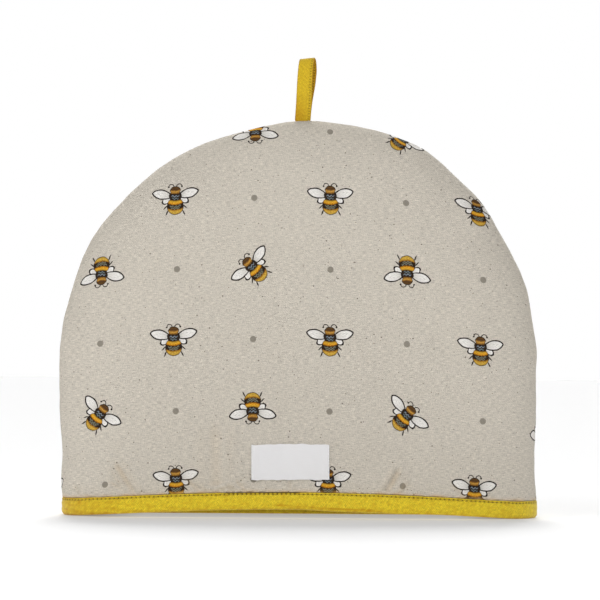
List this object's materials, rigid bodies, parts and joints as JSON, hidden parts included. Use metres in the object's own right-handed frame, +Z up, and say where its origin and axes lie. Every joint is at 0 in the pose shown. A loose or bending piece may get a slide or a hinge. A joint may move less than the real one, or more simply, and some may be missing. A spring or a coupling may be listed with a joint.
{
  "type": "tea cosy",
  "caption": "Padded dome-shaped tea cosy in printed cloth, with a bound hem that it stands on, a tape loop in the crown seam and a blank sewn-on label.",
  "frame": {"origin": "on the table under the middle of the cosy, at the bottom centre of its box", "axes": "+X to the right of someone who faces the labelled front, -Y out of that front, +Z up towards the loop"},
  "size_m": [0.3412, 0.1011, 0.327],
  "materials": {
    "printed_cloth": "matte plain-weave cotton and linen look, printed with small bees and grey dots",
    "yellow_cotton": "matte plain-weave mustard yellow cotton",
    "label_tape": "smooth white woven ribbon with a low sheen"
  },
  "bodies": {
    "root": {"front_panel": "printed_cloth", "back_panel": "printed_cloth", "hem_binding": "yellow_cotton", "hanging_loop": "yellow_cotton", "sewn_label": "label_tape"}
  },
  "joints": []
}
